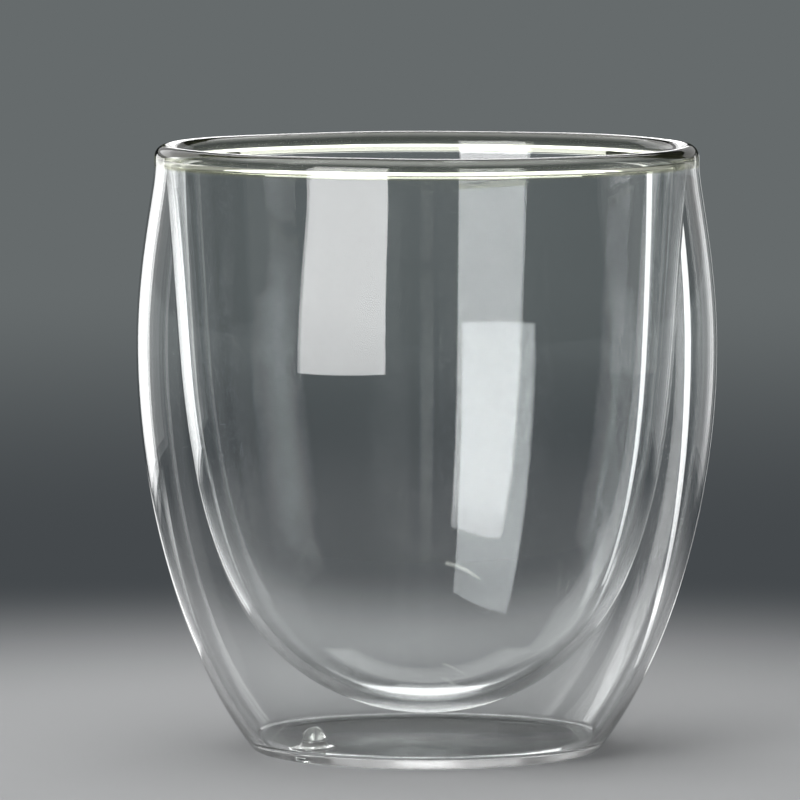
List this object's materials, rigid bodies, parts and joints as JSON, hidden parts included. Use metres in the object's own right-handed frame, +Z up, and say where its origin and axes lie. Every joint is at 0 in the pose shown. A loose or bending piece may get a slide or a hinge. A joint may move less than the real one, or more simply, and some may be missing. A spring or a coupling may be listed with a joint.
{
  "type": "double-walled tumbler",
  "caption": "Egg-shaped double-walled drinking glass: a round-bottomed inner cup hangs by its fused lip inside an outer jacket with an insulating air space and a flat foot.",
  "frame": {"origin": "middle of the base, on the surface that the glass stands on", "axes": "+Z up along the axis of the glass; -Y towards the picture's camera, +X to its right"},
  "size_m": [0.086, 0.086, 0.09],
  "materials": {
    "clear_glass": "clear blown borosilicate, flame polished",
    "rim_glass": "clear flame-fused borosilicate, faintly olive where it is thick"
  },
  "bodies": {
    "root": {"outer_wall": "clear_glass", "inner_wall": "clear_glass", "rim_weld": "rim_glass", "seal_tip": "clear_glass"}
  },
  "joints": []
}
